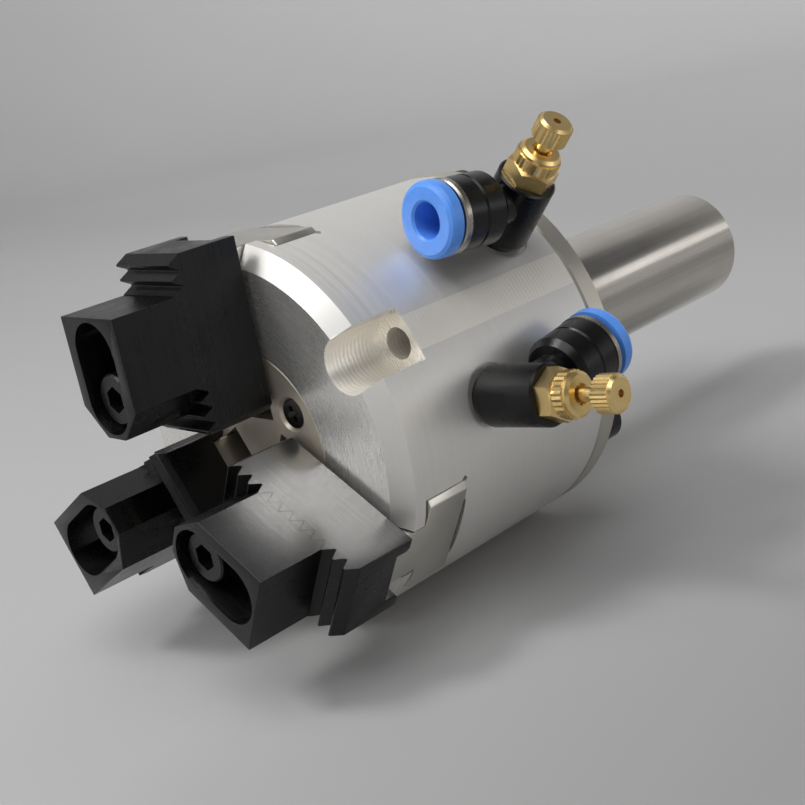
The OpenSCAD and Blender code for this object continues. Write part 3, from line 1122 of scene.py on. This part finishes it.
@dataclass
class Studio:
    """Table, lights and camera.

    Attributes:
        floor_height: Height of the table under the axis, in metres.
        lens: Focal length of the camera in millimetres.
        table: Finish of the table.
        walls: Light of the walls.
        ceiling: Light of the ceiling.
        overhead: Direction in which the ceiling lies.
        wall_top: Height on the sky where the walls end and where the ceiling starts.
        middle: Point on the gripper that the lamps point at.
        lamps: The lamps.
        eye: Where the camera stands.
        right: Direction to the camera's right.
        up: Direction up from the camera.
        half_width: How far the table reaches to each side, in metres.
        reach: How far it reaches to the front and the back, in metres.
        curve: Radius of the curve between table and wall, in metres.
        curve_steps: Faces along that curve.
        wall_height: Height of the wall over the table, in metres.
        toward_wall: Level direction from the table to the wall.
    """

    floor_height: float = -0.0352
    lens: float = 57.991
    table: TableTop = TableTop()
    walls: Colour = (0.45, 0.45, 0.45)
    ceiling: Colour = (0.11, 0.11, 0.115)
    overhead: Vector = Vector((0.0, 0.5, 0.86))
    wall_top: tuple[float, float] = (0.54, 0.59)
    middle: Vector = Vector((0.03, 0, 0))
    lamps: tuple[Lamp, ...] = (
        Lamp("overhead", Vector((0.5, 0.4, 1.6)), 1.4, 1.4, 14.0),
        Lamp("key", Vector((0.66, -0.34, 1.02)), 0.3, 0.3, 5.5),
        Lamp("front_window", Vector((1.3, -0.5, 0.8)), 0.7, 0.7, 3.5),
        Lamp("side_wall", Vector((-0.35, 1.5, 0.05)), 1.4, 0.6, 4.0),
        Lamp("side_strip", Vector((-1.25, 0.86, 0.46)), 0.3, 0.3, 0.24),
    )
    eye: Vector = Vector((0.18078, 0.17766, 0.06613))
    right: Vector = Vector((-0.69523, 0.69434, -0.18588))
    up: Vector = Vector((-0.33113, -0.07985, 0.94020))
    half_width: float = 2.0
    reach: float = 0.9
    curve: float = 0.5
    curve_steps: int = 12
    wall_height: float = 1.8
    toward_wall: Vector = Vector((-0.638, -0.715, 0))

    def table_and_wall(self) -> None:
        """Makes the table and the curve up to the wall behind it."""
        away = self.toward_wall.normalized()
        side = Vector((-away.y, away.x, 0))
        run = [(-self.reach, 0.0), (self.reach, 0.0)]
        for step in range(1, self.curve_steps + 1):
            a = math.pi / 2 * step / self.curve_steps
            run.append((self.reach + self.curve * math.sin(a), self.curve * (1 - math.cos(a))))
        run.append((self.reach + self.curve, self.wall_height))
        bm = bmesh.new()
        rows = []
        for out, up in run:
            level = Vector((0, 0, self.floor_height + up))
            rows.append([bm.verts.new(away * out + side * s + level)
                         for s in (-self.half_width, self.half_width)])
        for a, b in zip(rows, rows[1:]):
            bm.faces.new((a[0], a[1], b[1], b[0])).smooth = True
        mesh = bpy.data.meshes.new("table")
        bm.to_mesh(mesh)
        bm.free()
        mesh.materials.append(self.table.build())
        ground = bpy.data.objects.new("table", mesh)
        bpy.context.scene.collection.objects.link(ground)

    def room(self) -> None:
        """Makes the room's own light: pale walls under a darker ceiling."""
        world = bpy.data.worlds.new("room")
        world.use_nodes = True
        nodes, links = world.node_tree.nodes, world.node_tree.links
        way = nodes.new("ShaderNodeTexCoord").outputs["Generated"]
        height = nodes.new("ShaderNodeVectorMath")
        height.operation = "DOT_PRODUCT"
        height.inputs[1].default_value = self.overhead
        links.new(way, height.inputs[0])
        rise = nodes.new("ShaderNodeMapRange")
        rise.interpolation_type = "SMOOTHSTEP"
        rise.inputs["From Min"].default_value = self.wall_top[0]
        rise.inputs["From Max"].default_value = self.wall_top[1]
        links.new(height.outputs["Value"], rise.inputs["Value"])
        mix = nodes.new("ShaderNodeMix")
        mix.data_type = "RGBA"
        mix.inputs["A"].default_value = (*self.walls, 1)
        mix.inputs["B"].default_value = (*self.ceiling, 1)
        links.new(rise.outputs["Result"], mix.inputs["Factor"])
        links.new(mix.outputs["Result"], nodes["Background"].inputs["Color"])
        bpy.context.scene.world = world

    def camera(self) -> None:
        """Places the camera above the jaws, a little rolled."""
        data = bpy.data.cameras.new("camera")
        data.lens = self.lens
        data.sensor_width = 36.0
        data.clip_start, data.clip_end = 0.01, 20.0
        cam = bpy.data.objects.new("camera", data)
        back = self.right.cross(self.up)
        turn = Matrix((self.right, self.up, back)).transposed().to_4x4()
        cam.matrix_world = Matrix.Translation(self.eye) @ turn
        bpy.context.scene.collection.objects.link(cam)
        bpy.context.scene.camera = cam

    def build(self) -> None:
        """Builds the room."""
        self.table_and_wall()
        for lamp in self.lamps:
            lamp.build(self.middle)
        self.room()
        bpy.context.scene.view_settings.view_transform = "Standard"
        self.camera()


def main() -> None:
    """Builds every sub-assembly in order, then the room."""
    logging.basicConfig(level=logging.INFO, format="%(name)s: %(message)s")
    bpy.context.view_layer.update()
    parts = [Housing(), DiscScrews(), Drive(), *(Jaw(n) for n in JAWS),
             *(SpeedController(n) for n in CONTROLLERS), BlackScrews(), Studio()]
    for part in parts:
        part.build()
        log.info("built %s", type(part).__name__)


if __name__ == "__main__":
    main()
